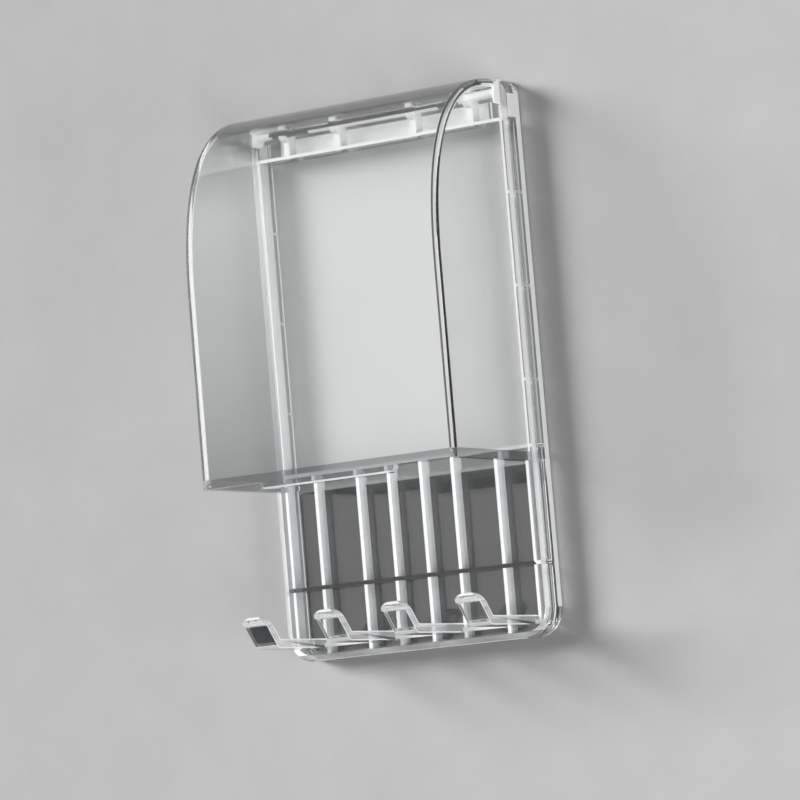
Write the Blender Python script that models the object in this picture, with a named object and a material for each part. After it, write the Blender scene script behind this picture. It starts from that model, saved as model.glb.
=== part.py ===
"""Clear splash cover for a type 86 wall socket: a ribbed base with four cord hooks and a hinged hood.

Metres, +Z up, X to the right, the wall is the plane Y = 0 and the cover stands out towards -Y.
The origin is on the wall behind the adhesive pad, at the middle of the bay.
"""

import math

import bmesh
import bpy
from mathutils import Matrix, Vector

MM = 0.001

# Driving sizes of the base, in metres
BASE_WIDTH = 95.5 * MM
BASE_DEPTH = 7.5 * MM
BASE_CORNER = 9.0 * MM
BASE_TOP_CORNER = 5.0 * MM
RIM_WALL = 2.0 * MM
RIM_EDGE = 0.7 * MM
RIM_EDGE_STEPS = 3
INNER_WALL = 1.0 * MM
RIB_WALL = 1.2 * MM
SIDE_CHANNEL = 1.45 * MM
BACK_SHEET = 2.2 * MM
WINDOW_HEIGHT = 100.8 * MM
TOP_CHANNEL = 10.3 * MM
BAY_HEIGHT = 53.7 * MM
BOTTOM_CHANNEL = 2.1 * MM
SLOT_HEIGHT = 3.6 * MM
BAY_SHELF_DROP = 35.7 * MM
SIDE_WEB_PITCH = 28.9 * MM
SIDE_WEB_WALL = 1.0 * MM
SIDE_WEB_COUNT = 3
SIDE_WEBS_ABOVE_WINDOW_FOOT = 20.3 * MM
RIB_PLACES = (5.85 * MM, 17.3 * MM, 32.8 * MM)
HINGE_OPENING_WIDTH = 5.2 * MM
HINGE_OPENING_HEIGHT = 5.4 * MM
HINGE_OPENING_PLACE = 40.2 * MM
CORNER_STEPS = 6
SHARP_ANGLE = 35.0

# Driving sizes of the hooks
HOOK_PLACES = (12.05 * MM, 38.1 * MM)
HOOK_WIDTH = 7.8 * MM
HOOK_WALL = 2.9 * MM
HOOK_REACH = 24.8 * MM
HOOK_RISE = 7.1 * MM
HOOK_SLOPE = 50.0
HOOK_BEND = 1.8 * MM
HOOK_CURL = 1.9 * MM
HOOK_LIP = 0.1 * MM
HOOK_TIP_CORNER = 3.0 * MM
HOOK_EDGE = 0.6 * MM
HOOK_EDGE_STEPS = 2
HOOK_BEND_STEPS = 5
HOOK_TIP_STEPS = 8
HOOK_BELOW_FLOOR = 0.1 * MM

# Driving sizes of the hood
HOOD_DEPTH = 45.5 * MM
HOOD_CURVE_HEIGHT = 62.0 * MM
HOOD_CURVE_POWER = 2.5
HOOD_CURVE_STEPS = 24
HOOD_TOP_DROP = 0.5 * MM
HOOD_WALL = 2.0 * MM
HOOD_BELOW_WINDOW = 4.7 * MM
HOOD_EDGE = 1.7 * MM
HOOD_INNER_EDGE = 0.6 * MM
HOOD_EDGE_STEPS = 4
RIM_BEAD_HEIGHT = 2.8 * MM
RIM_BEAD = 0.7 * MM
TAB_WIDTH = 48.0 * MM
TAB_DROP = 2.3 * MM
TAB_CORNER = 2.2 * MM
TAB_STEPS = 4

# Driving sizes of the hinge
EAR_RADIUS = 3.9 * MM
EAR_STEPS = 48
ROD_RADIUS = 1.5 * MM
ROD_STEPS = 24
AXIS_IN_FRONT_OF_WALL = 7.3 * MM
AXIS_BELOW_HOOD_TOP = 4.0 * MM
LUG_PLACES = (14.0 * MM, 33.0 * MM)
LUG_WALL = 2.0 * MM
LUG_RADIUS = 3.3 * MM
LUG_MOUTH = 2.7 * MM
LUG_SHOULDER = 60.0
LUG_STEPS = 20
KNUCKLE_WALL = 2.2 * MM

# Adhesive pad
PAD_WALL = 0.9 * MM
PAD_INSET = 0.8 * MM
PAD_CORNER = 4.0 * MM
PAD_TOP_CORNER = 1.5 * MM

# Clearances
JOINT_GAP = 0.3 * MM
SIDE_GAP = 0.25 * MM
SWING_GAP = 0.45 * MM
WIDE_OPEN_ROOM = 0.7 * MM
SWING_SIDE_ROOM = 0.1 * MM
OVERLAP = 0.6 * MM
THROUGH = 5.0 * MM

# Heights, worked out from the driving sizes
BAY_FOOT = -BAY_HEIGHT / 2
BAY_TOP = BAY_HEIGHT / 2
BASE_FOOT = BAY_FOOT - RIB_WALL / 2 - BOTTOM_CHANNEL - RIM_WALL
WINDOW_FOOT = BAY_TOP
WINDOW_TOP = WINDOW_FOOT + WINDOW_HEIGHT
BASE_TOP = WINDOW_TOP + INNER_WALL / 2 + TOP_CHANNEL + RIM_WALL
SLOT_FOOT = BAY_TOP - RIB_WALL / 2 - SLOT_HEIGHT

# Places across and in depth
RIM_INSIDE = BASE_WIDTH / 2 - RIM_WALL
INNER_PLACE = RIM_INSIDE - SIDE_CHANNEL - INNER_WALL / 2
BASE_FRONT = -BASE_DEPTH
BASE_BACK = -JOINT_GAP
SHEET_BACK = -PAD_WALL - JOINT_GAP
SHEET_FRONT = SHEET_BACK - BACK_SHEET
HOOD_HALF = RIM_INSIDE - SIDE_GAP
HOOD_BACK = BASE_FRONT - JOINT_GAP
HOOD_FRONT = -AXIS_IN_FRONT_OF_WALL - HOOD_DEPTH
HOOD_FOOT = WINDOW_FOOT - HOOD_BELOW_WINDOW
AXIS_Y = -AXIS_IN_FRONT_OF_WALL
HOOD_TOP = BASE_TOP - HOOD_TOP_DROP
AXIS_Z = HOOD_TOP - AXIS_BELOW_HOOD_TOP
SWING_RADIUS = EAR_RADIUS + SWING_GAP
SWING_BACK = AXIS_Y + SWING_RADIUS + WIDE_OPEN_ROOM
CURVE_FOOT = HOOD_TOP - HOOD_CURVE_HEIGHT


def clear_scene():
    for obj in list(bpy.data.objects):
        bpy.data.objects.remove(obj, do_unlink=True)


def material(name, colour, roughness, transmission, ior):
    made = bpy.data.materials.new(name)
    made.use_nodes = True
    shader = made.node_tree.nodes["Principled BSDF"]
    shader.inputs["Base Color"].default_value = (*colour, 1.0)
    shader.inputs["Roughness"].default_value = roughness
    shader.inputs["Metallic"].default_value = 0.0
    shader.inputs["Transmission Weight"].default_value = transmission
    shader.inputs["IOR"].default_value = ior
    return made


def link(name, bm):
    mesh = bpy.data.meshes.new(name)
    bmesh.ops.recalc_face_normals(bm, faces=bm.faces)
    bm.to_mesh(mesh)
    bm.free()
    obj = bpy.data.objects.new(name, mesh)
    bpy.context.scene.collection.objects.link(obj)
    return obj


def prism(name, outline, start, end, across):
    """Closed outline of (first, second) pairs, extruded along X (across='x') or along Y (across='y')."""
    bm = bmesh.new()
    ends = []
    for place in (start, end):
        if across == "x":
            ends.append([bm.verts.new((place, a, b)) for a, b in outline])
        else:
            ends.append([bm.verts.new((a, place, b)) for a, b in outline])
    near, far = ends
    bm.faces.new(near)
    bm.faces.new(far[::-1])
    for i in range(len(outline)):
        bm.faces.new((near[i - 1], far[i - 1], far[i], near[i]))
    return link(name, bm)


def block(name, x_range, y_range, z_range):
    (back, front), (foot, top) = y_range, z_range
    outline = [(back, foot), (front, foot), (front, top), (back, top)]
    return prism(name, outline, x_range[0], x_range[1], "x")


def both_ways(middle, size):
    """Range of the given size about a middle place."""
    return (middle - size / 2, middle + size / 2)


def rod(name, radius, x_range, sides):
    """Round bar along X on the hinge axis."""
    outline = arc((AXIS_Y, AXIS_Z), radius, 0, 360, sides)[:-1]
    return prism(name, outline, x_range[0], x_range[1], "x")


def arc(centre, radius, start, end, steps):
    """Points on a circle from start to end degrees, both ends included."""
    angles = (math.radians(start + (end - start) * i / steps) for i in range(steps + 1))
    return [(centre[0] + radius * math.cos(a), centre[1] + radius * math.sin(a)) for a in angles]


def rounded_rectangle(half_width, foot, top, radius, top_radius=None):
    upper = radius if top_radius is None else top_radius
    return (
        arc((half_width - upper, top - upper), upper, 0, 90, CORNER_STEPS)
        + arc((upper - half_width, top - upper), upper, 90, 180, CORNER_STEPS)
        + arc((radius - half_width, foot + radius), radius, 180, 270, CORNER_STEPS)
        + arc((half_width - radius, foot + radius), radius, 270, 360, CORNER_STEPS)
    )


def base_outline(inset):
    """Front view of the base in (X, Z), moved inwards by inset: wide corners below, tighter ones on top."""
    return rounded_rectangle(
        BASE_WIDTH / 2 - inset, BASE_FOOT + inset, BASE_TOP - inset, BASE_CORNER - inset,
        BASE_TOP_CORNER - inset,
    )


def apply_modifiers(obj):
    graph = bpy.context.evaluated_depsgraph_get()
    mesh = bpy.data.meshes.new_from_object(obj.evaluated_get(graph))
    obj.modifiers.clear()
    old = obj.data
    obj.data = mesh
    bpy.data.meshes.remove(old)


def combine(obj, operation, others):
    """Joins the others to obj, cuts them from it, or keeps what they share, one after another."""
    for other in others:
        other.hide_render = True
        other.display_type = "WIRE"
        boolean = obj.modifiers.new(operation.title(), "BOOLEAN")
        boolean.operation = operation
        boolean.solver = "EXACT"
        boolean.object = other
        apply_modifiers(obj)
        bpy.data.objects.remove(other, do_unlink=True)
    return obj


def bevel_edges(obj, width, segments, chosen):
    """Rounds the edges for which chosen(edge) is true."""
    bm = bmesh.new()
    bm.from_mesh(obj.data)
    bmesh.ops.bevel(
        bm, geom=[edge for edge in bm.edges if chosen(edge)], offset=width, offset_type="OFFSET",
        segments=segments, profile=0.5, affect="EDGES", clamp_overlap=True,
    )
    bm.to_mesh(obj.data)
    bm.free()
    return obj


def is_sharp(edge):
    return edge.calc_face_angle(0.0) > math.radians(SHARP_ANGLE)


def finish(obj, look):
    obj.data.materials.clear()
    obj.data.materials.append(look)
    obj.data.shade_smooth()
    obj.data.set_sharp_from_angle(angle=math.radians(SHARP_ANGLE))
    return obj


def sheet_blocks():
    """Sheet behind the bay and behind the top channel, the second with an opening near each end."""
    wide = (-BASE_WIDTH, BASE_WIDTH)
    deep = (SHEET_BACK, SHEET_FRONT)
    bay = block("bay_sheet", wide, deep, (BASE_FOOT - THROUGH, SLOT_FOOT))
    top = block("top_sheet", wide, deep, (WINDOW_TOP, BASE_TOP + THROUGH))
    foot = WINDOW_TOP + INNER_WALL
    openings = []
    for side in (-1, 1):
        span = both_ways(side * HINGE_OPENING_PLACE, HINGE_OPENING_WIDTH)
        height = (foot, foot + HINGE_OPENING_HEIGHT)
        openings.append(block("opening", span, (THROUGH, BASE_FRONT), height))
    combine(top, "DIFFERENCE", openings)
    return [bay, top]


def level_walls():
    """Walls from rim to rim: window top, window foot, the bay's shelf and the bay's floor."""
    wide = (-BASE_WIDTH, BASE_WIDTH)
    middles = (
        (WINDOW_TOP, INNER_WALL, THROUGH),
        (WINDOW_FOOT, RIB_WALL, THROUGH),
        (BAY_TOP - BAY_SHELF_DROP, RIB_WALL, SHEET_FRONT + OVERLAP),
        (BAY_FOOT, RIB_WALL, SHEET_FRONT + OVERLAP),
    )
    return [
        block("level", wide, (back, BASE_FRONT - THROUGH), both_ways(middle, wall))
        for middle, wall, back in middles
    ]


def upright_walls():
    """Inner walls of the frame and ribs of the bay, the ribs going on down to the rim."""
    made = []
    for side in (-1, 1):
        span = both_ways(side * INNER_PLACE, INNER_WALL)
        made.append(block("inner", span, (THROUGH, BASE_FRONT - THROUGH), (BAY_FOOT, WINDOW_TOP)))
        for place in RIB_PLACES:
            span = both_ways(side * place, RIB_WALL)
            deep = (SHEET_FRONT + OVERLAP, BASE_FRONT - THROUGH)
            made.append(block("rib", span, deep, (BASE_FOOT, WINDOW_FOOT)))
    return made


def side_webs():
    """Short webs that tie each inner wall to the rim beside the window."""
    made = []
    for side in (-1, 1):
        for i in range(SIDE_WEB_COUNT):
            middle = WINDOW_FOOT + SIDE_WEBS_ABOVE_WINDOW_FOOT + i * SIDE_WEB_PITCH
            height = both_ways(middle, SIDE_WEB_WALL)
            deep = (THROUGH, BASE_FRONT - THROUGH)
            made.append(block("web", (side * INNER_PLACE, side * BASE_WIDTH), deep, height))
    return made


def at_front(edge):
    return all(vertex.co.y < BASE_FRONT + JOINT_GAP for vertex in edge.verts)


def base_body():
    """Rim, walls and sheet, cut from one block by everything that is hollow inside the rim."""
    hollow = prism("hollow", base_outline(RIM_WALL), THROUGH, BASE_FRONT - THROUGH / 2, "y")
    combine(hollow, "DIFFERENCE", sheet_blocks() + level_walls() + upright_walls() + side_webs())
    body = prism("base_frame", base_outline(0), BASE_BACK, BASE_FRONT, "y")
    bevel_edges(body, RIM_EDGE, RIM_EDGE_STEPS, at_front)
    return combine(body, "DIFFERENCE", [hollow])


def swing_cut():
    """Room for the hood's hinge end to turn, in the front of the sheet and through the rim's top wall."""
    reach = (-RIM_INSIDE - SWING_SIDE_ROOM, RIM_INSIDE + SWING_SIDE_ROOM)
    turned = rod("turned", SWING_RADIUS, reach, EAR_STEPS)
    deep = (SWING_BACK, BASE_FRONT - THROUGH)
    above = block("above", reach, deep, (AXIS_Z, BASE_TOP + THROUGH))
    return [turned, above]


def lug(middle):
    """Bearing for the hinge rod, open in front so that the rod snaps in, on a post in the top channel."""
    centre = (AXIS_Y, AXIS_Z)
    bore = ROD_RADIUS + JOINT_GAP
    outer_lip = math.degrees(math.asin(LUG_MOUTH / 2 / LUG_RADIUS))
    inner_lip = math.degrees(math.asin(LUG_MOUTH / 2 / bore))
    root = SWING_BACK + OVERLAP
    shoulder = AXIS_Z + LUG_RADIUS * math.sin(math.radians(LUG_SHOULDER))
    outline = (
        arc(centre, LUG_RADIUS, 180 - outer_lip, LUG_SHOULDER, LUG_STEPS // 2)
        + [(root, shoulder), (root, WINDOW_TOP), (AXIS_Y, WINDOW_TOP)]
        + arc(centre, LUG_RADIUS, 270, 180 + outer_lip, LUG_STEPS // 4)
        + arc(centre, bore, 180 + inner_lip, 540 - inner_lip, LUG_STEPS)
    )
    return prism("lug", outline, *both_ways(middle, LUG_WALL), "x")


def offset_path(path, distance):
    """Points of the path moved sideways by distance, mitred at the bends."""
    moved = []
    for i, point in enumerate(path):
        before = (Vector(point) - Vector(path[i - 1])).normalized() if i else None
        after = (Vector(path[i + 1]) - Vector(point)).normalized() if i + 1 < len(path) else None
        before, after = before or after, after or before
        way = (before + after).normalized()
        normal = Vector((-way.y, way.x))
        stretch = distance / math.cos(before.angle(after) / 2)
        moved.append(tuple(Vector(point) + normal * stretch))
    return moved


def hook_path():
    """Middle line of a hook in (Y, Z): arm outwards, bend, slope up and outwards, and a level lip."""
    level = BAY_FOOT - RIB_WALL / 2 - HOOK_BELOW_FLOOR + HOOK_WALL / 2
    lip_level = level + HOOK_RISE
    arm_end = BASE_FRONT - HOOK_REACH
    slope = math.radians(HOOK_SLOPE)
    bend = arc((arm_end, level + HOOK_BEND), HOOK_BEND, 270, 270 - HOOK_SLOPE, HOOK_BEND_STEPS)
    turns_rise = (HOOK_BEND + HOOK_CURL) * (1 - math.cos(slope))
    run = (HOOK_RISE - turns_rise) / math.tan(slope)
    curl_y = bend[-1][0] - run - HOOK_CURL * math.sin(slope)
    curl = arc((curl_y, lip_level - HOOK_CURL), HOOK_CURL, 90 - HOOK_SLOPE, 90, HOOK_BEND_STEPS)
    return [(SHEET_FRONT + OVERLAP, level), *bend, *curl, (curl_y - HOOK_LIP, lip_level)]


def hook(middle):
    """Flat hook of one thickness with a round lip end, and rounded corners seen from the front."""
    path = hook_path()
    half = HOOK_WALL / 2
    lip_end = arc(path[-1], half, 90, 270, HOOK_TIP_STEPS)
    outline = offset_path(path, half)[:-1] + lip_end[::-1] + offset_path(path, -half)[-2::-1]
    made = prism("hook", outline, *both_ways(middle, HOOK_WIDTH), "x")
    top = path[-1][1] + half
    front = rounded_rectangle(HOOK_WIDTH / 2, BASE_FOOT - HOOK_WIDTH, top, HOOK_TIP_CORNER)
    shape = prism("shape", [(middle + x, z) for x, z in front], THROUGH, HOOD_FRONT, "y")
    combine(made, "INTERSECT", [shape])
    return bevel_edges(made, HOOK_EDGE, HOOK_EDGE_STEPS, is_sharp)


def make_base():
    base = base_body()
    combine(base, "DIFFERENCE", swing_cut())
    lugs = [lug(side * place) for side in (-1, 1) for place in LUG_PLACES]
    hooks = [hook(side * place) for side in (-1, 1) for place in HOOK_PLACES]
    combine(base, "UNION", lugs + hooks)
    return base


def hood_outline(inset, foot, back):
    """Side view of the hood in (Y, Z): upright front, a squarish quarter oval, and a level end on top."""
    reach = HOOD_BACK - HOOD_FRONT - inset
    rise = HOOD_CURVE_HEIGHT - inset
    curve = []
    for i in range(HOOD_CURVE_STEPS + 1):
        turn = math.pi / 2 * i / HOOD_CURVE_STEPS
        forward = reach * math.sin(turn) ** (2 / HOOD_CURVE_POWER)
        upward = rise * abs(math.cos(turn)) ** (2 / HOOD_CURVE_POWER)
        curve.append((HOOD_BACK - forward, CURVE_FOOT + upward))
    end = [(back, foot)]
    if back > HOOD_BACK:
        end.append((back, HOOD_TOP - inset))
    return end + curve + [(HOOD_FRONT + inset, foot)]


def tab_outline():
    """Front view of the thumb tab in (X, Z), with rounded lower corners."""
    half = TAB_WIDTH / 2
    foot = HOOD_FOOT - TAB_DROP
    top = HOOD_FOOT + RIM_BEAD_HEIGHT / 2
    corner = TAB_CORNER
    return (
        [(half, top)]
        + arc((half - corner, foot + corner), corner, 0, -90, TAB_STEPS)
        + arc((corner - half, foot + corner), corner, -90, -180, TAB_STEPS)
        + [(-half, top)]
    )


def side_edge(edge):
    """True on the edges between a side wall of the hood and its curved top and front."""
    ends = [vertex.co for vertex in edge.verts]
    on_side = abs(ends[0].x - ends[1].x) < OVERLAP
    at_back = any(end.y > HOOD_BACK - OVERLAP and end.z < AXIS_Z for end in ends)
    return on_side and not at_back


def hood_shell():
    """Thin shell open behind and below, with a thicker bead round the inside of its lower rim."""
    shell = prism("hood", hood_outline(0, HOOD_FOOT, HOOD_BACK), -HOOD_HALF, HOOD_HALF, "x")
    bevel_edges(shell, HOOD_EDGE, HOOD_EDGE_STEPS, side_edge)
    bead_top = HOOD_FOOT + RIM_BEAD_HEIGHT
    half = HOOD_HALF - HOOD_WALL
    hollow = prism("hollow", hood_outline(HOOD_WALL, bead_top, THROUGH), -half, half, "x")
    bevel_edges(hollow, HOOD_INNER_EDGE, HOOD_EDGE_STEPS // 2, side_edge)
    wide = both_ways(0, 2 * (half - RIM_BEAD))
    deep = (THROUGH, HOOD_FRONT + HOOD_WALL + RIM_BEAD)
    mouth = block("mouth", wide, deep, (HOOD_FOOT - THROUGH, bead_top + OVERLAP))
    return combine(shell, "DIFFERENCE", [hollow, mouth])


def ears():
    """Round ends of the side walls about the hinge axis."""
    inside = HOOD_HALF - HOOD_WALL
    spans = ((-HOOD_HALF, -inside), (inside, HOOD_HALF))
    return [rod("ear", EAR_RADIUS, span, EAR_STEPS) for span in spans]


def axle():
    half = HOOD_HALF - HOOD_WALL / 2
    return rod("axle", ROD_RADIUS, (-half, half), ROD_STEPS)


def thumb_tab():
    return prism("tab", tab_outline(), HOOD_FRONT + HOOD_WALL + RIM_BEAD, HOOD_FRONT, "y")


def knuckles():
    """Webs that carry the rod from the top wall, between the inner and outer lugs on each side."""
    gap = LUG_WALL / 2 + SWING_GAP * 2
    front = HOOD_BACK + ROD_RADIUS / 2 - KNUCKLE_WALL
    made = []
    for side in (-1, 1):
        span = (side * (LUG_PLACES[0] + gap), side * (LUG_PLACES[1] - gap))
        height = (AXIS_Z, HOOD_TOP - HOOD_WALL / 2)
        made.append(block("knuckle", span, (front, front + KNUCKLE_WALL), height))
    return made


def lug_notches():
    """Slots in the end of the top wall, through which the lugs pass as the hood turns."""
    width = LUG_WALL + SWING_GAP * 2
    deep = (THROUGH, AXIS_Y - EAR_RADIUS - SWING_GAP)
    height = (AXIS_Z + ROD_RADIUS + JOINT_GAP, BASE_TOP + THROUGH)
    return [
        block("notch", both_ways(side * place, width), deep, height)
        for side in (-1, 1) for place in LUG_PLACES
    ]


def make_hood():
    hood = hood_shell()
    combine(hood, "UNION", [*ears(), thumb_tab(), axle(), *knuckles()])
    return combine(hood, "DIFFERENCE", lug_notches())


def make_pad():
    """Flat pad on the wall, as large as the sheet behind the bay between the inner walls."""
    half = INNER_PLACE - INNER_WALL / 2 - PAD_INSET
    height = (BASE_FOOT + RIM_WALL + PAD_INSET, SLOT_FOOT - PAD_INSET)
    outline = rounded_rectangle(half, *height, PAD_CORNER, PAD_TOP_CORNER)
    return prism("adhesive_pad", outline, 0.0, -PAD_WALL, "y")


def clear_plastic():
    """Clear glossy moulding plastic, very faintly grey."""
    return material("clear_plastic", (0.95, 0.96, 0.96), 0.03, 1.0, 1.57)


def grey_foam():
    """Dark grey acrylic foam tape, matt."""
    return material("grey_foam", (0.07, 0.07, 0.075), 0.7, 0.0, 1.45)


def main():
    clear_scene()
    plastic = clear_plastic()
    finish(make_base(), plastic)
    finish(make_pad(), grey_foam())

    hood = finish(make_hood(), plastic)
    hinge = bpy.data.objects.new("hinge_line", None)
    hinge.location = (0.0, AXIS_Y, AXIS_Z)
    bpy.context.scene.collection.objects.link(hinge)
    hood.data.transform(Matrix.Translation((0.0, -AXIS_Y, -AXIS_Z)))
    hood.parent = hinge


main()
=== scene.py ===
import math

import bpy
from mathutils import Matrix, Vector


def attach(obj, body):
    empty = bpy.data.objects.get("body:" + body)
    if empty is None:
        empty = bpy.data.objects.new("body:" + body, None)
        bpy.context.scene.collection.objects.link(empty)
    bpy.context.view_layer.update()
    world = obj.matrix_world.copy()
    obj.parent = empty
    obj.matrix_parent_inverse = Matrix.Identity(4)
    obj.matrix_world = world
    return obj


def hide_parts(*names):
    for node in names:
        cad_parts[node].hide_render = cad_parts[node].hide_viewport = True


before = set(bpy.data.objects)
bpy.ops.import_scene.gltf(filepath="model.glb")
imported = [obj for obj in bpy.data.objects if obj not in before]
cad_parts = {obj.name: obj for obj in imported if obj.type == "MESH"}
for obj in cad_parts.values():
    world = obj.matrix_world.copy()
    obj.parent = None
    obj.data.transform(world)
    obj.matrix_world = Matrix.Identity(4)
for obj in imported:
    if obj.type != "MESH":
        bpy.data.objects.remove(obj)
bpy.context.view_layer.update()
print("frame loaded")
bpy.context.scene.view_settings.view_transform = "Standard"

mm = 0.001


def toLinear(hexColour):
    # sRGB hex to the linear values that the shader sockets take
    values = []
    for i in (1, 3, 5):
        c = int(hexColour[i:i + 2], 16) / 255
        values.append(c / 12.92 if c <= 0.04045 else ((c + 0.055) / 1.055) ** 2.4)
    return (*values, 1.0)


def addNode(tree, kind, settings=None, **links):
    # a number or colour goes on the socket, an output socket is linked to it
    node = tree.nodes.new(kind)
    for name, value in (settings or {}).items():
        setattr(node, name, value)
    for name, value in links.items():
        key = int(name[1:]) if name[0] == "i" and name[1:].isdigit() else name.replace("_", " ")
        socket = node.inputs[key]
        if isinstance(value, bpy.types.NodeSocket):
            tree.links.new(value, socket)
        else:
            socket.default_value = value
    return node


def newMaterial(name):
    made = bpy.data.materials.new(name)
    made.use_nodes = True
    made.node_tree.nodes.clear()
    return made, made.node_tree


def selectOnly(obj):
    bpy.ops.object.select_all(action="DESELECT")
    obj.select_set(True)
    bpy.context.view_layer.objects.active = obj


# the camera is fitted to the photograph, 800 x 800. Angles are in degrees, lens and sensor in mm
camera = {
    "place": (719.8 * mm, -1194.8 * mm, -88.35 * mm),
    "yaw": 31.203,
    "pitch": 5.535,
    "roll": 4.790,
    "lens": 202.5,
    "sensor": 36,
}


def makeCamera():
    yaw, pitch, roll = (math.radians(camera[key]) for key in ("yaw", "pitch", "roll"))
    look = Vector((-math.sin(yaw) * math.cos(pitch), math.cos(yaw) * math.cos(pitch), math.sin(pitch)))
    side = Vector((math.cos(yaw), math.sin(yaw), 0))
    over = side.cross(look)
    right = side * math.cos(roll) - over * math.sin(roll)
    up = side * math.sin(roll) + over * math.cos(roll)
    data = bpy.data.cameras.new("camera")
    data.sensor_width = camera["sensor"]
    data.lens = camera["lens"]
    obj = bpy.data.objects.new("camera", data)
    bpy.context.scene.collection.objects.link(obj)
    turned = Matrix((right, up, -look)).transposed().to_4x4()
    obj.matrix_world = Matrix.Translation(camera["place"]) @ turned
    bpy.context.scene.camera = obj


makeCamera()
print("camera made")


stage = {
    "wallDark": "#B5B5B5",
    "wallLight": "#C5C5C5",
    "wallWidth": 6.0,
    "wallBehind": 0.1 * mm,
    "trowelScale": 28.0,  # trowel marks of about 36 mm
    "trowelDepth": 0.4 * mm,
    "trowelStrength": 0.25,
    "worldStrength": 0.10,
    "roomSeen": 0.95,  # the room straight, as in a view from behind, and through the clear plastic
    "roomMirrored": 1.5,
    "roomDark": 0.06,  # share of that at the ceiling and the floor
    "darkFrom": 0.4,  # heights on the sphere of directions, 1 is straight up or down
    "darkTo": 0.9,
    "boxMirrored": 2.4,
    "boxFrom": 0.6,  # likewise towards the sides
    "boxTo": 0.8,
    "aim": (0, 0, 0.05),  # the middle of the cover
    "keyPlace": (-3.5, -2.1, 1.4),
    "keyWidth": 22,  # degrees across, as a large soft box from here
    "keyStrength": 4.7,
    "sidePlace": (1.75, -0.80, -0.75),  # close to the wall's plane: it lights sides and undersides, the wall little
    "sideSize": (0.6, 1.2),
    "sideWatts": 26,
    "bounces": 24,  # clear walls behind each other
    "glossyBounces": 12,
}


def mattWallPaint():
    # Matt paint on trowelled plaster, with soft uneven marks. It is only there from the room's side, so that a
    # view from behind shows the object.
    made, tree = newMaterial("mattWallPaint")
    place = addNode(tree, "ShaderNodeTexCoord")
    trowel = addNode(
        tree, "ShaderNodeTexNoise", Vector=place.outputs["Object"], Scale=stage["trowelScale"], Detail=6.0,
        Roughness=0.7,
    )
    tone = addNode(
        tree, "ShaderNodeMix", {"data_type": "RGBA"}, Factor=trowel.outputs["Fac"],
        i6=toLinear(stage["wallDark"]), i7=toLinear(stage["wallLight"]),
    )
    rough = addNode(
        tree, "ShaderNodeBump", Strength=stage["trowelStrength"], Distance=stage["trowelDepth"],
        Height=trowel.outputs["Fac"],
    )
    paint = addNode(tree, "ShaderNodeBsdfDiffuse", Color=tone.outputs[2], Normal=rough.outputs[0])
    clear = addNode(tree, "ShaderNodeBsdfTransparent")
    side = addNode(tree, "ShaderNodeNewGeometry")
    mix = addNode(
        tree, "ShaderNodeMixShader", i0=side.outputs["Backfacing"], i1=paint.outputs[0], i2=clear.outputs[0],
    )
    addNode(tree, "ShaderNodeOutputMaterial", Surface=mix.outputs[0])
    return made


def makeWall():
    bpy.ops.object.select_all(action="DESELECT")
    bpy.ops.mesh.primitive_plane_add(size=stage["wallWidth"], location=(0, stage["wallBehind"], 0))
    wall = bpy.context.object
    wall.name = "wall"
    wall.rotation_euler = (math.radians(90), 0, 0)
    wall.data.materials.append(mattWallPaint())


def addLamp(name, kind, place, **settings):
    # mirrors show the world's soft boxes, not the lamps
    data = bpy.data.lights.new(name, kind)
    for key, value in settings.items():
        setattr(data, key, value)
    obj = bpy.data.objects.new(name, data)
    bpy.context.scene.collection.objects.link(obj)
    obj.location = place
    obj.rotation_mode = "QUATERNION"
    obj.rotation_quaternion = (Vector(stage["aim"]) - Vector(place)).to_track_quat("-Z", "Y")
    obj.visible_glossy = False
    obj.visible_transmission = False


def makeWorld():
    world = bpy.data.worlds.new("studio")
    bpy.context.scene.world = world
    world.use_nodes = True
    tree = world.node_tree
    tree.nodes.clear()
    # a pale room, with a dark ceiling and floor and, in reflections, tall soft boxes at both sides
    place = addNode(tree, "ShaderNodeTexCoord")
    split = addNode(tree, "ShaderNodeSeparateXYZ", Vector=place.outputs["Generated"])
    height = addNode(tree, "ShaderNodeMath", {"operation": "ABSOLUTE"}, i0=split.outputs["Z"])
    across = addNode(tree, "ShaderNodeMath", {"operation": "ABSOLUTE"}, i0=split.outputs["X"])
    level = addNode(
        tree, "ShaderNodeMapRange", {"interpolation_type": "SMOOTHSTEP"}, Value=height.outputs[0],
        From_Min=stage["darkFrom"], From_Max=stage["darkTo"], To_Min=1.0, To_Max=stage["roomDark"],
    )
    sides = addNode(
        tree, "ShaderNodeMapRange", {"interpolation_type": "SMOOTHSTEP"}, Value=across.outputs[0],
        From_Min=stage["boxFrom"], From_Max=stage["boxTo"], To_Min=stage["roomMirrored"],
        To_Max=stage["boxMirrored"],
    )
    mirrored = addNode(tree, "ShaderNodeMath", {"operation": "MULTIPLY"}, i0=level.outputs[0], i1=sides.outputs[0])
    through = addNode(tree, "ShaderNodeMath", {"operation": "MULTIPLY"}, i0=level.outputs[0], i1=stage["roomSeen"])
    ray = addNode(tree, "ShaderNodeLightPath")
    strength = stage["worldStrength"]
    for rays, value in (
        ("Is Camera Ray", stage["roomSeen"]),
        ("Is Glossy Ray", mirrored.outputs[0]),
        ("Is Transmission Ray", through.outputs[0]),
    ):
        strength = addNode(
            tree, "ShaderNodeMix", {"data_type": "FLOAT"}, Factor=ray.outputs[rays], i2=strength, i3=value,
        ).outputs[0]
    light = addNode(tree, "ShaderNodeBackground", Color=(1, 1, 1, 1), Strength=strength)
    addNode(tree, "ShaderNodeOutputWorld", Surface=light.outputs[0])


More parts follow.
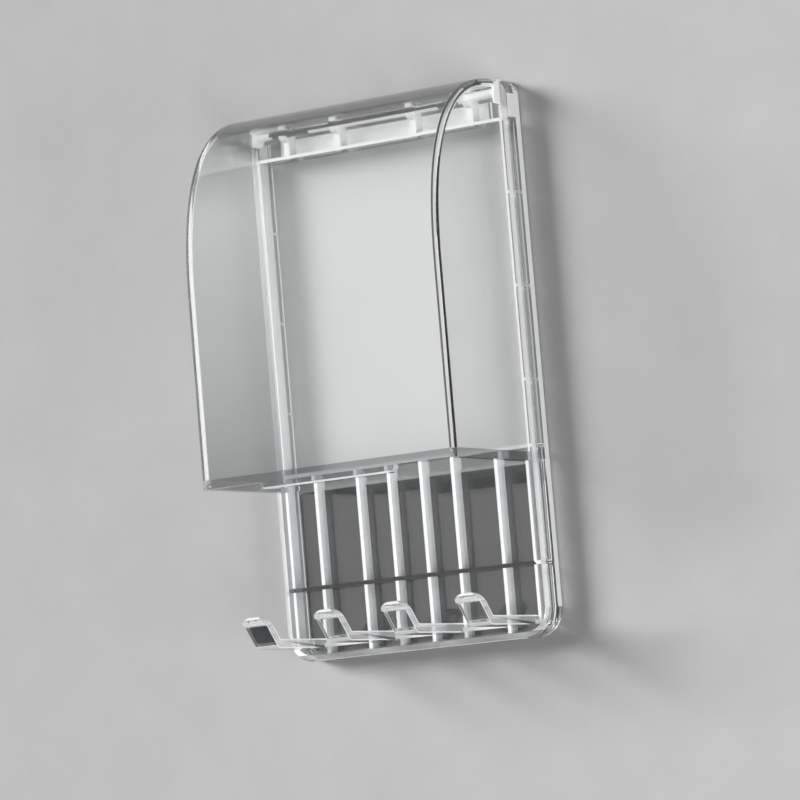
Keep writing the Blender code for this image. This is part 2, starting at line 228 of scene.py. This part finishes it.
makeWall()
makeWorld()
addLamp("keyLight", "SUN", stage["keyPlace"], energy=stage["keyStrength"], angle=math.radians(stage["keyWidth"]))
addLamp(
    "sideLight", "AREA", stage["sidePlace"], energy=stage["sideWatts"], shape="RECTANGLE",
    size=stage["sideSize"][0], size_y=stage["sideSize"][1],
)
bpy.context.scene.cycles.max_bounces = stage["bounces"]
bpy.context.scene.cycles.transmission_bounces = stage["bounces"]
bpy.context.scene.cycles.glossy_bounces = stage["glossyBounces"]
print("stage made")


plastic = {
    "ior": 1.58,
    "clearRoughness": 0.03,  # as a polished tool leaves it
    "litRoughness": 0.12,
    "waveSize": 14 * mm,  # slow waves of a moulded wall
    "waveDepth": 0.05 * mm,
    "waveStrength": 0.25,
    "streakSize": 2.5 * mm,  # flow streaks, drawn coarser than real ones, so that they show
    "faceOn": 0.15,  # Facing of a wall that is seen nearly straight, and of one that is seen at a slant
    "slanted": 0.45,
    "roundFrom": 0.2,  # Facing between which a round edge turns dark
    "roundTo": 0.42,
}


def clearPolycarbonateEdgeShade(name, look):
    # Clear polycarbonate, injection moulded in a polished tool: glassy face-on, with painted shade where it is seen
    # edge-on, a grey band and a near black line. Light that meets it edge-on is lost to its shadow, as in the real
    # thing.
    made, tree = newMaterial(name)
    edge = addNode(tree, "ShaderNodeLayerWeight", Blend=0.5)
    # painted shade: a ramp on Facing darkens the tint from clear face-on to a grey band and a near black line
    # edge-on
    edgeOnShade = addNode(tree, "ShaderNodeValToRGB", Fac=edge.outputs["Facing"])
    ramp = edgeOnShade.color_ramp
    ramp.interpolation = "EASE"
    ramp.elements[0].position, ramp.elements[1].position = look["clearTo"], 1.0
    ramp.elements[0].color, ramp.elements[1].color = toLinear(look["clear"]), toLinear(look["line"])
    ramp.elements.new(look["bandFrom"]).color = toLinear(look["band"])
    place = addNode(tree, "ShaderNodeTexCoord")
    tint = edgeOnShade.outputs["Color"]
    if "low" in look:  # painted shade: the moulding is darker towards its foot and its top end, where it is seen at a slant
        split = addNode(tree, "ShaderNodeSeparateXYZ", Vector=place.outputs["Object"])
        height = addNode(
            tree, "ShaderNodeMapRange", Value=split.outputs["Z"], From_Min=look["lowFrom"] * mm,
            From_Max=look["lowTo"] * mm,
        )
        under = addNode(
            tree, "ShaderNodeMapRange", {"interpolation_type": "SMOOTHSTEP"}, Value=split.outputs["Z"],
            From_Min=look["highFrom"] * mm, From_Max=look["highTo"] * mm, To_Min=1.0, To_Max=0.0,
        )
        middle = addNode(tree, "ShaderNodeMath", {"operation": "MINIMUM"}, i0=height.outputs[0], i1=under.outputs[0])
        face = addNode(
            tree, "ShaderNodeMapRange", {"interpolation_type": "SMOOTHSTEP"}, Value=edge.outputs["Facing"],
            From_Min=plastic["faceOn"], From_Max=plastic["slanted"], To_Min=1.0, To_Max=0.0,
        )
        free = addNode(tree, "ShaderNodeMath", {"operation": "MAXIMUM"}, i0=middle.outputs[0], i1=face.outputs[0])
        paintedSlantShade = addNode(
            tree, "ShaderNodeMix", {"data_type": "RGBA"}, Factor=free.outputs[0],
            i6=toLinear(look["low"]), i7=toLinear("#FFFFFF"),
        )
        tint = addNode(
            tree, "ShaderNodeMix", {"data_type": "RGBA", "blend_type": "MULTIPLY"}, Factor=1.0,
            i6=tint, i7=paintedSlantShade.outputs[2],
        ).outputs[2]
    flow = addNode(
        tree, "ShaderNodeTexNoise", Vector=place.outputs["Object"], Scale=1 / plastic["waveSize"], Detail=1.0,
    )
    wave = addNode(
        tree, "ShaderNodeBump", Strength=plastic["waveStrength"], Distance=plastic["waveDepth"],
        Height=flow.outputs["Fac"],
    )
    body = addNode(
        tree, "ShaderNodeBsdfPrincipled", Base_Color=tint, Roughness=plastic["clearRoughness"], IOR=plastic["ior"],
        Transmission_Weight=1.0, Normal=wave.outputs[0],
    )
    face, side = look["faceShadow"], look["edgeShadow"]
    dim = addNode(
        tree, "ShaderNodeMix", {"data_type": "RGBA"}, Factor=edge.outputs["Facing"],
        i6=(face, face, face, 1), i7=(side, side, side, 1),
    )
    through = addNode(tree, "ShaderNodeBsdfTransparent", Color=dim.outputs[2])
    ray = addNode(tree, "ShaderNodeLightPath")
    mix = addNode(
        tree, "ShaderNodeMixShader", i0=ray.outputs["Is Shadow Ray"], i1=body.outputs[0], i2=through.outputs[0],
    )
    addNode(tree, "ShaderNodeOutputMaterial", Surface=mix.outputs[0])
    return made


def paintedHighlightPolycarbonate(name, look):
    # Painted highlight on the clear polycarbonate: where a thin wall is seen along its length, it is painted milky
    # white in place of the light piped inside it, with faint flow streaks from the moulding.
    made, tree = newMaterial(name)
    place = addNode(tree, "ShaderNodeTexCoord")
    streaks = addNode(
        tree, "ShaderNodeTexNoise", Vector=place.outputs["Object"], Scale=1 / plastic["streakSize"], Detail=2.0,
    )
    shade = addNode(
        tree, "ShaderNodeMix", {"data_type": "RGBA"}, Factor=streaks.outputs["Fac"],
        i6=toLinear(look["dim"]), i7=toLinear(look["lit"]),
    )
    if "grazingShade" in look:  # painted shade: a round edge goes dark where it turns away
        edge = addNode(tree, "ShaderNodeLayerWeight", Blend=0.5)
        turned = addNode(
            tree, "ShaderNodeMapRange", {"interpolation_type": "SMOOTHSTEP"}, Value=edge.outputs["Facing"],
            From_Min=plastic["roundFrom"], From_Max=plastic["roundTo"],
        )
        shade = addNode(
            tree, "ShaderNodeMix", {"data_type": "RGBA"}, Factor=turned.outputs[0], i6=shade.outputs[2],
            i7=toLinear(look["grazingShade"]),
        )
    milk = addNode(
        tree, "ShaderNodeBsdfPrincipled", Base_Color=shade.outputs[2], Roughness=plastic["litRoughness"],
        IOR=plastic["ior"],
    )
    clear = addNode(tree, "ShaderNodeBsdfTransparent")
    mix = addNode(tree, "ShaderNodeMixShader", i0=look["opacity"], i1=clear.outputs[0], i2=milk.outputs[0])
    pale = look["shadow"]  # the milk is only light inside clear plastic, so its own shadow stays pale
    through = addNode(tree, "ShaderNodeBsdfTransparent", Color=(pale, pale, pale, 1))
    ray = addNode(tree, "ShaderNodeLightPath")
    both = addNode(
        tree, "ShaderNodeMixShader", i0=ray.outputs["Is Shadow Ray"], i1=mix.outputs[0], i2=through.outputs[0],
    )
    addNode(tree, "ShaderNodeOutputMaterial", Surface=both.outputs[0])
    return made


shell = {
    "mergeWithin": 0.002 * mm,
    "sharpAngle": 35,  # degrees
    "flatAngle": 0.5,
    "edgeSteps": 2,
}
hinge = {"y": -7.3, "z": 135.95}  # the rod's middle line, in mm
far = 999  # no limit on that side


def matches(face, places):
    # places is one or more sets of bands: where a face's middle lies in mm, and which way it faces
    x, y, z = face.center / mm
    nx, ny, nz = face.normal
    found = {
        "x": x, "y": y, "z": z, "across": abs(x),
        "ny": ny, "nz": nz, "sideways": abs(nx), "upOrDown": abs(nz),
        "fromHinge": math.hypot(y - hinge["y"], z - hinge["z"]),
    }
    return any(all(low < found[key] < high for key, (low, high) in bands.items()) for bands in places)


def insetFaces(piece, width, places):
    # parts a rim off each flat face in these places, and marks it, so that it can get its own plastic
    bpy.ops.object.mode_set(mode="EDIT")
    bpy.ops.mesh.select_mode(type="FACE")
    bpy.ops.mesh.select_all(action="DESELECT")
    bpy.ops.object.mode_set(mode="OBJECT")
    for face in piece.data.polygons:
        face.select = matches(face, places)
    bpy.ops.object.mode_set(mode="EDIT")
    bpy.ops.mesh.inset(thickness=width, use_even_offset=True)
    bpy.ops.object.mode_set(mode="OBJECT")
    mark = piece.data.attributes.new("rim", "BOOLEAN", "FACE")
    for face in piece.data.polygons:
        mark.data[face.index].value = matches(face, places) and not face.select


def smoothCopy(node, name, body, edge, finish, cuts, inset=None):
    piece = bpy.data.objects.new(name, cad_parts[node].data.copy())
    bpy.context.scene.collection.objects.link(piece)
    selectOnly(piece)
    bpy.ops.mesh.customdata_custom_splitnormals_clear()
    bpy.ops.object.mode_set(mode="EDIT")
    bpy.ops.mesh.select_all(action="SELECT")
    bpy.ops.mesh.remove_doubles(threshold=shell["mergeWithin"])
    bpy.ops.mesh.dissolve_limited(angle_limit=math.radians(shell["flatAngle"]))
    for axis, place in cuts:  # flat cuts part the faces that get different finishes
        through, along = Vector(), Vector()
        setattr(through, axis, place * mm)
        setattr(along, axis, 1)
        bpy.ops.mesh.select_all(action="SELECT")
        bpy.ops.mesh.bisect(plane_co=through, plane_no=along)
    bpy.ops.object.mode_set(mode="OBJECT")
    if inset:
        insetFaces(piece, *inset)
    bevel = piece.modifiers.new("edges", "BEVEL")
    bevel.width = edge
    bevel.segments = shell["edgeSteps"]
    bevel.limit_method = "ANGLE"
    bevel.angle_limit = math.radians(shell["sharpAngle"])
    bevel.use_clamp_overlap = True
    bpy.ops.object.modifier_apply(modifier=bevel.name)
    bpy.ops.object.shade_smooth_by_angle(angle=math.radians(shell["sharpAngle"]))
    weighted = piece.modifiers.new("normals", "WEIGHTED_NORMAL")
    weighted.weight = 100
    weighted.keep_sharp = True
    bpy.ops.object.modifier_apply(modifier=weighted.name)
    piece.data.materials.clear()
    piece.data.materials.append(finish)
    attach(piece, body)
    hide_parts(node)
    print(name, "made,", len(piece.data.polygons), "faces")
    return piece


def giveFaces(piece, finish, places, rimOnly=False):
    piece.data.materials.append(finish)
    number = len(piece.data.materials) - 1
    mark = piece.data.attributes.get("rim")
    count = 0
    for face in piece.data.polygons:
        if rimOnly and not mark.data[face.index].value:
            continue
        if matches(face, places):
            face.material_index = number
            count += 1
    print(" ", finish.name, "on", count, "faces of", piece.name)


baseLook = {
    "body": {
        "clear": "#FAFBFB", "clearTo": 0.5, "band": "#B4B6B8", "bandFrom": 0.8, "line": "#5C5E60",
        "faceShadow": 0.80, "edgeShadow": 0.30,
    },
    "rim": {
        "clear": "#DCDEE0", "clearTo": 0.4, "band": "#9FA1A3", "bandFrom": 0.75, "line": "#505254",
        "faceShadow": 0.30, "edgeShadow": 0.12,
    },
    # painted highlights: the materials from here to the plate paint thin walls' edges and faces and the hooks milky
    # white
    "edge": {"dim": "#F6F7F8", "lit": "#FFFFFF", "opacity": 0.9, "shadow": 0.8},
    "side": {"dim": "#DADCDE", "lit": "#F0F2F3", "opacity": 0.72, "shadow": 0.8},
    "rimFront": {"dim": "#F4F5F6", "lit": "#FFFFFF", "opacity": 0.55, "shadow": 0.5},
    "rimBack": {"dim": "#F6F7F8", "lit": "#FFFFFF", "opacity": 0.95, "shadow": 0.5},
    "field": {"dim": "#F8F9FA", "lit": "#FFFFFF", "opacity": 0.92, "shadow": 0.8},
    "rimFoot": {"dim": "#E4E6E8", "lit": "#F8F9FA", "opacity": 0.30, "shadow": 0.5},
    "hook": {"dim": "#D8DADC", "lit": "#ECEEF0", "opacity": 0.40, "shadow": 0.5},
    "plate": {  # painted shade: the left hook's plate is painted dark, as it looks against the light room
        "clear": "#5E6062", "clearTo": 0.4, "band": "#4A4C4E", "bandFrom": 0.7, "line": "#242628",
        "faceShadow": 0.80, "edgeShadow": 0.50,
    },
    # painted shade: the shelf's edge is painted as a dark line
    "shelf": {
        "clear": "#4A4C4E", "clearTo": 0.3, "band": "#3A3C3E", "bandFrom": 0.6, "line": "#242628",
        "faceShadow": 0.80, "edgeShadow": 0.50,
    },
    "edgeRound": 0.2 * mm,
    "hookLine": 0.4 * mm,  # painted highlight: a milky white rim along the hooks' sides
    "cuts": (
        ("x", -45.7), ("x", 45.7),  # the rim's sides
        ("y", -2.9),  # the back of the rim
        ("z", 138.35), ("z", -29.4),  # the rim's top and foot
        ("z", -9.5), ("z", -8.1),  # the shelf
        ("z", 26.25), ("z", 27.4), ("z", 128.25),  # the window's foot and top
    ),
}

# places are in mm, and directions are parts of a face's normal, from -1 to 1
basePlaces = {
    "hookSides": [{"y": (-far, -7.7), "sideways": (0.95, far)}],
    "hookEdges": [{"y": (-far, -7.7), "sideways": (0.3, 0.95)}],
    "hookRims": [{"y": (-far, -7.7), "sideways": (0.3, far)}],
    "hookBends": [{"y": (-far, -29), "z": (-far, -23), "ny": (-far, -0.2), "nz": (-0.98, -0.68)}],
    "hookTips": [{"y": (-far, -36), "z": (-21, far), "nz": (0.3, far)}],
    "leftPlate": [{"x": (-far, -30), "y": (-far, -29), "sideways": (-far, 0.1), "upOrDown": (0.6, 0.67)}],
    "rim": [
        {"y": (-7.6, far), "across": (45.6, far)},
        {"y": (-7.6, far), "z": (138.3, far)},
        {"y": (-7.6, far), "z": (-far, -29.3)},
    ],
    "rimFront": [
        {"y": (-7.6, -7.3), "across": (45.6, far)},
        {"y": (-7.6, -7.3), "z": (138.3, far)},
    ],
    "rimFoot": [{"y": (-7.6, -7.3), "z": (-far, -29.3), "across": (-far, 45.6)}],
    "rimBack": [{"y": (-2.9, far), "ny": (-far, 0.9), "across": (47.6, far), "sideways": (0.3, far)}],
    "rimTopSides": [{"across": (47.6, far), "sideways": (0.9, far), "z": (128.3, 135.5)}],
    "rimUnderEdge": [{"z": (-far, -31.2), "ny": (-far, -0.3), "nz": (-far, -0.3)}],
    "wallFronts": [{"y": (-7.6, -7.25), "across": (-far, 45.6), "z": (-29.3, 128.4)}],
    "wallSides": [{"y": (-7.3, -3.3), "across": (-far, 45), "z": (-far, 128), "sideways": (0.9, far)}],
    "windowFoot": [{"y": (-7.6, -7.25), "across": (-far, 43.4), "z": (26.3, 27.6)}],
    "channelSheet": [{"y": (-3.5, -3.3), "z": (128.1, 138.5), "ny": (-far, -0.9)}],
    "channelWalls": [{"y": (-far, -3.5), "z": (128.2, 138.3), "across": (-far, 45.6)}],
    "shelf": [{"y": (-7.7, far), "z": (-9.55, -8.05), "across": (-far, 43.5)}],
}


def makeBase():
    piece = smoothCopy(
        "base_frame", "baseFrame", "base", baseLook["edgeRound"],
        clearPolycarbonateEdgeShade("clearPolycarbonateBase", baseLook["body"]), baseLook["cuts"],
        (baseLook["hookLine"], basePlaces["hookSides"]),
    )
    # where two of these places overlap, the later one holds
    rimWall = clearPolycarbonateEdgeShade("clearPolycarbonateRim", baseLook["rim"])
    giveFaces(piece, rimWall, basePlaces["rim"])
    frontEdge = paintedHighlightPolycarbonate("paintedHighlightEdge", baseLook["edge"])
    giveFaces(piece, frontEdge, basePlaces["wallFronts"])
    wallSide = paintedHighlightPolycarbonate("paintedHighlightSide", baseLook["side"])
    giveFaces(piece, wallSide, basePlaces["wallSides"])
    rimFront = paintedHighlightPolycarbonate("paintedHighlightRimFront", baseLook["rimFront"])
    giveFaces(piece, rimFront, basePlaces["rimFront"])
    giveFaces(piece, frontEdge, basePlaces["rimTopSides"])
    rimFoot = paintedHighlightPolycarbonate("paintedHighlightRimFoot", baseLook["rimFoot"])
    giveFaces(piece, rimFoot, basePlaces["rimFoot"])
    giveFaces(piece, rimFront, basePlaces["windowFoot"])
    rimBack = paintedHighlightPolycarbonate("paintedHighlightRimBack", baseLook["rimBack"])
    giveFaces(piece, rimBack, basePlaces["rimBack"])
    field = paintedHighlightPolycarbonate("paintedHighlightField", baseLook["field"])
    giveFaces(piece, field, basePlaces["channelSheet"])
    giveFaces(piece, frontEdge, basePlaces["channelWalls"])
    hookEdge = paintedHighlightPolycarbonate("paintedHighlightHookEdge", baseLook["edge"])
    giveFaces(piece, hookEdge, basePlaces["hookEdges"])
    hookSide = paintedHighlightPolycarbonate("paintedHighlightHookSide", baseLook["hook"])
    giveFaces(piece, hookSide, basePlaces["hookSides"])
    giveFaces(piece, hookEdge, basePlaces["hookRims"], rimOnly=True)
    giveFaces(piece, hookEdge, basePlaces["hookBends"])
    giveFaces(piece, hookEdge, basePlaces["hookTips"])
    giveFaces(piece, frontEdge, basePlaces["rimUnderEdge"])
    plate = clearPolycarbonateEdgeShade("paintedShadePlate", baseLook["plate"])
    giveFaces(piece, plate, basePlaces["leftPlate"])
    shelf = clearPolycarbonateEdgeShade("paintedShadeShelf", baseLook["shelf"])
    giveFaces(piece, shelf, basePlaces["shelf"])


hoodLook = {
    "shell": {
        "clear": "#FBFCFC", "clearTo": 0.54, "band": "#4E5052", "bandFrom": 0.68, "line": "#3A3C3E",
        "faceShadow": 0.99, "edgeShadow": 0.85,
    },
    # painted shade: the left side is darker than the right, and darker still towards its foot and its top end
    "paintedShadeLeftSide": {
        "clear": "#FFFFFF", "clearTo": 0.57, "band": "#6E7072", "bandFrom": 0.72, "line": "#3A3C3E",
        "low": "#5C5E60", "lowFrom": 25, "lowTo": 140, "highFrom": 125, "highTo": 133,
        "faceShadow": 0.99, "edgeShadow": 0.85,
    },
    # painted shade: near black lines at the corner, in front of the rod and under the bead
    "line": {
        "clear": "#242628", "clearTo": 0.2, "band": "#1E2022", "bandFrom": 0.5, "line": "#1A1C1E",
        "faceShadow": 0.99, "edgeShadow": 0.85,
    },
    # painted shade: a dark band on the outer corner strips where they turn edge-on
    "outline": {
        "clear": "#FBFCFC", "clearTo": 0.45, "band": "#444648", "bandFrom": 0.65, "line": "#242628",
        "faceShadow": 0.99, "edgeShadow": 0.85,
    },
    "bead": {
        "clear": "#B4B6B8", "clearTo": 0.4, "band": "#8A8C8E", "bandFrom": 0.65, "line": "#3A3C3E",
        "faceShadow": 0.97, "edgeShadow": 0.70,
    },
    # painted highlights: milky white on the bead's top, the corner's middle, the inner round, the thumb tab and the
    # hinge ends
    "beadTop": {"dim": "#F4F5F6", "lit": "#FFFFFF", "opacity": 0.8, "shadow": 0.5},
    "round": {"dim": "#F4F5F6", "lit": "#FFFFFF", "grazingShade": "#5A5C5E", "opacity": 0.88, "shadow": 0.5},
    "inner": {"dim": "#C4C6C8", "lit": "#D4D6D8", "opacity": 0.8, "shadow": 0.5},
    "innerLine": {"dim": "#F8F9FA", "lit": "#FFFFFF", "opacity": 0.95, "shadow": 0.5},
    "foot": {"dim": "#E4E6E8", "lit": "#F8F9FA", "opacity": 0.62, "shadow": 0.5},
    "ear": {"dim": "#F8F9FA", "lit": "#FFFFFF", "opacity": 0.92, "shadow": 0.5},
    "edgeRound": 0.3 * mm,
    "cuts": (
        ("z", 24.95), ("z", 20.4),  # above the foot's bead, and across the thumb tab
        ("x", -24.0), ("x", 24.0), ("x", -38.5), ("x", 29.5),  # along the rod and the top wall's end
        ("y", -10.9), ("z", 132.4),  # round the hinge ends
    ),
}

hoodPlaces = {
    "paintedShadeLeftSide": [{"x": (-far, -43.4), "sideways": (0.999, far)}],
    # the rounded corner between front and side is four strips wide
    "cornerLines": [
        {"across": (43.7, far), "y": (-far, -9), "sideways": (0.1, 0.3)},
        {"across": (43.7, far), "y": (-far, -9), "sideways": (0.96, 0.995)},
    ],
    "cornerMiddle": [{"across": (43.7, far), "y": (-far, -9), "sideways": (0.45, 0.65)}],
    "outline": [{"across": (43.7, far), "y": (-far, -9), "sideways": (0.75, 0.9)}],
    "innerRound": [{"across": (42.7, 43.52), "y": (-far, -9), "z": (25.2, far), "sideways": (0.15, 0.7)}],
    "innerLine": [{"across": (42.7, 43.52), "y": (-far, -9), "z": (25.2, far), "sideways": (0.6999, 0.97)}],
    "hingeEnds": [
        {"x": (-far, -38.4), "y": (-10.9, far), "z": (131, far)},
        {"x": (29.4, far), "y": (-10.9, far), "z": (131, far)},
    ],
    "topEndLeft": [{"x": (-38.5, -34), "y": (-10.9, far), "z": (137.6, far)}],
    "rodUnder": [{"across": (-far, 13.2), "fromHinge": (-far, 1.7), "nz": (-far, -0.4)}],
    "rodFront": [{"x": (-38.4, 29.4), "fromHinge": (-far, 1.7), "nz": (-0.4, far)}],
    "bead": [{"z": (-far, 24.9), "upOrDown": (-far, 0.3)}],
    "beadUnder": [{"z": (-far, 24.0), "nz": (-far, -0.3)}],
    "beadTop": [{"z": (24.0, 26), "nz": (0.3, far)}],
    "tabFront": [{"y": (-far, -51), "z": (-far, 20.4), "ny": (-far, -0.25)}],
    "tabEnds": [{"z": (-far, 22.6), "across": (22, 27), "sideways": (0.3, far)}],
}


def makeHood():
    piece = smoothCopy(
        "hood", "hoodShell", "hood", hoodLook["edgeRound"],
        clearPolycarbonateEdgeShade("clearPolycarbonateHood", hoodLook["shell"]), hoodLook["cuts"],
    )
    paintedShadeLeftSide = clearPolycarbonateEdgeShade("clearPolycarbonatePaintedShadeLeft", hoodLook["paintedShadeLeftSide"])
    giveFaces(piece, paintedShadeLeftSide, hoodPlaces["paintedShadeLeftSide"])
    # painted shade: near black lines on the corner strips, the rod's front and the bead's underside
    corner = clearPolycarbonateEdgeShade("paintedShadeCornerLine", hoodLook["line"])
    giveFaces(piece, corner, hoodPlaces["cornerLines"])
    middle = paintedHighlightPolycarbonate("paintedHighlightRound", hoodLook["round"])
    giveFaces(piece, middle, hoodPlaces["cornerMiddle"])
    outline = clearPolycarbonateEdgeShade("paintedShadeOutline", hoodLook["outline"])
    giveFaces(piece, outline, hoodPlaces["outline"])
    inner = paintedHighlightPolycarbonate("paintedHighlightInnerRound", hoodLook["inner"])
    giveFaces(piece, inner, hoodPlaces["innerRound"])
    innerLine = paintedHighlightPolycarbonate("paintedHighlightInnerLine", hoodLook["innerLine"])
    giveFaces(piece, innerLine, hoodPlaces["innerLine"])
    ear = paintedHighlightPolycarbonate("paintedHighlightEar", hoodLook["ear"])
    giveFaces(piece, ear, hoodPlaces["hingeEnds"])
    giveFaces(piece, ear, hoodPlaces["topEndLeft"])
    giveFaces(piece, ear, hoodPlaces["rodUnder"])
    giveFaces(piece, corner, hoodPlaces["rodFront"])
    bead = clearPolycarbonateEdgeShade("clearPolycarbonateBead", hoodLook["bead"])
    giveFaces(piece, bead, hoodPlaces["bead"])
    giveFaces(piece, corner, hoodPlaces["beadUnder"])
    foot = paintedHighlightPolycarbonate("paintedHighlightFoot", hoodLook["foot"])
    giveFaces(piece, foot, hoodPlaces["tabFront"])
    giveFaces(piece, foot, hoodPlaces["tabEnds"])
    beadTop = paintedHighlightPolycarbonate("paintedHighlightBeadTop", hoodLook["beadTop"])
    giveFaces(piece, beadTop, hoodPlaces["beadTop"])


# painted shade: the pad's dark grey stands for the shade seen through the bay
padLook = {
    "dark": "#3E3E3F",
    "light": "#4A4A4B",
    "grainSize": 0.6 * mm,  # coarser than the real cells, so that they show
    "roughness": 0.8,
}


def foamPadPaintedShade():
    # Acrylic foam tape, cast and slit: matt and very fine grained. Its dark grey is painted shade, for the bay's
    # dark fields.
    made, tree = newMaterial("foamPadPaintedShade")
    place = addNode(tree, "ShaderNodeTexCoord")
    grain = addNode(
        tree, "ShaderNodeTexNoise", Vector=place.outputs["Object"], Scale=1 / padLook["grainSize"], Detail=3.0,
    )
    shade = addNode(
        tree, "ShaderNodeMix", {"data_type": "RGBA"}, Factor=grain.outputs["Fac"],
        i6=toLinear(padLook["dark"]), i7=toLinear(padLook["light"]),
    )
    foam = addNode(tree, "ShaderNodeBsdfPrincipled", Base_Color=shade.outputs[2], Roughness=padLook["roughness"])
    addNode(tree, "ShaderNodeOutputMaterial", Surface=foam.outputs[0])
    return made


def finishPad():
    # the pad is the CAD node itself, a flat sheet
    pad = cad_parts["adhesive_pad"]
    pad.data.materials.clear()
    pad.data.materials.append(foamPadPaintedShade())
    print("adhesive pad finished")


makeBase()
makeHood()
finishPad()
